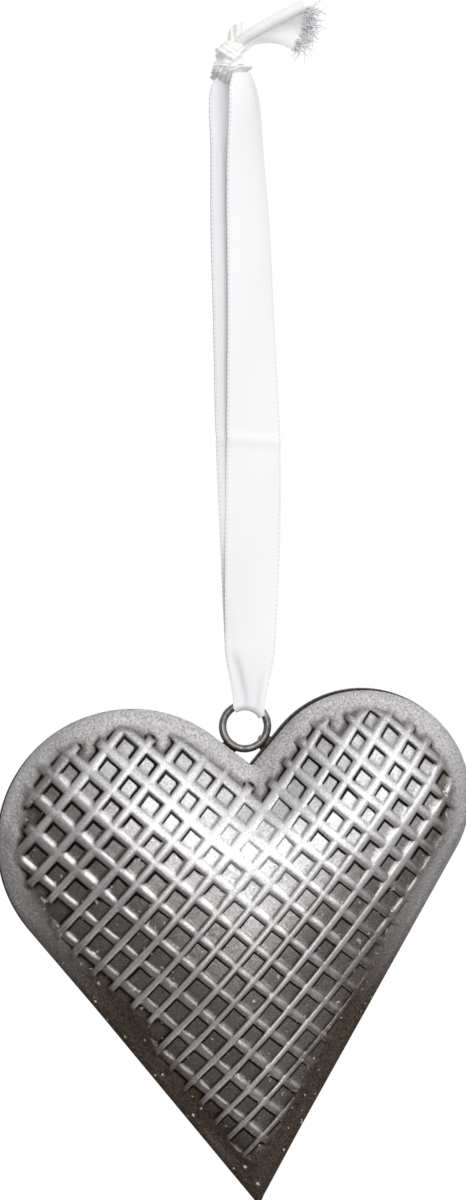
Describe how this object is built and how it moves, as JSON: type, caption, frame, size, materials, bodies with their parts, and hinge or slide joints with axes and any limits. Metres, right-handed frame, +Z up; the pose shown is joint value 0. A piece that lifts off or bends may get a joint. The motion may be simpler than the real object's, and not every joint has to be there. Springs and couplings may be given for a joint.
{
  "type": "hanging heart ornament",
  "caption": "Puffed sheet-iron heart with a raised waffle of ribs, a wire ring in its notch and a knotted satin ribbon loop to hang it by.",
  "frame": {"origin": "the hanging point, inside the ribbon loop just under its knot", "axes": "+Z up along the hanging ribbon, the heart's front faces -Y, +X to the right seen from the front"},
  "size_m": [0.0788, 0.0184, 0.1999],
  "materials": {
    "iron": "dull speckled sheet iron, rubbed bright on the ribs and dark brown-grey in the cells",
    "ring_wire": "drawn wire, dark grey, slightly glossy",
    "solder": "dull grey beads with a bright spot",
    "satin": "white satin ribbon, fine twill on its wrong side, woven edges"
  },
  "bodies": {
    "loop": {"ribbon_knot": "satin", "ribbon_tail_flap": "satin", "ribbon_tail_roll": "satin", "ribbon_front_strand": "satin", "ribbon_back_strand": "satin"},
    "gather": {"ribbon_front_gather": "satin", "ribbon_back_gather": "satin"},
    "saddle": {"ribbon_fold": "satin"},
    "heart": {"front_shell": "iron", "back_shell": "iron", "hanging_ring": "ring_wire", "ring_solder_left": "solder", "ring_solder_right": "solder", "rim_tack_1": "solder", "rim_tack_2": "solder", "rim_tack_3": "solder", "rim_tack_4": "solder", "rim_tack_5": "solder", "rim_tack_6": "solder"}
  },
  "joints": [
    {"name": "ribbon_twist", "type": "hinge", "parent": "loop", "child": "gather", "pos_m": [0.00235, 0, -0.09235], "axis": [0, 0, 1], "range_deg": [-180, 180]},
    {"name": "heart_swing", "type": "hinge", "parent": "gather", "child": "saddle", "pos_m": [0.0024, 0, -0.10279], "axis": [1, 0, 0], "range_deg": [-60, 60]},
    {"name": "heart_sway", "type": "hinge", "parent": "saddle", "child": "heart", "pos_m": [0.0015, 0, -0.1064], "axis": [0, 1, 0], "range_deg": [-25, 25]}
  ]
}
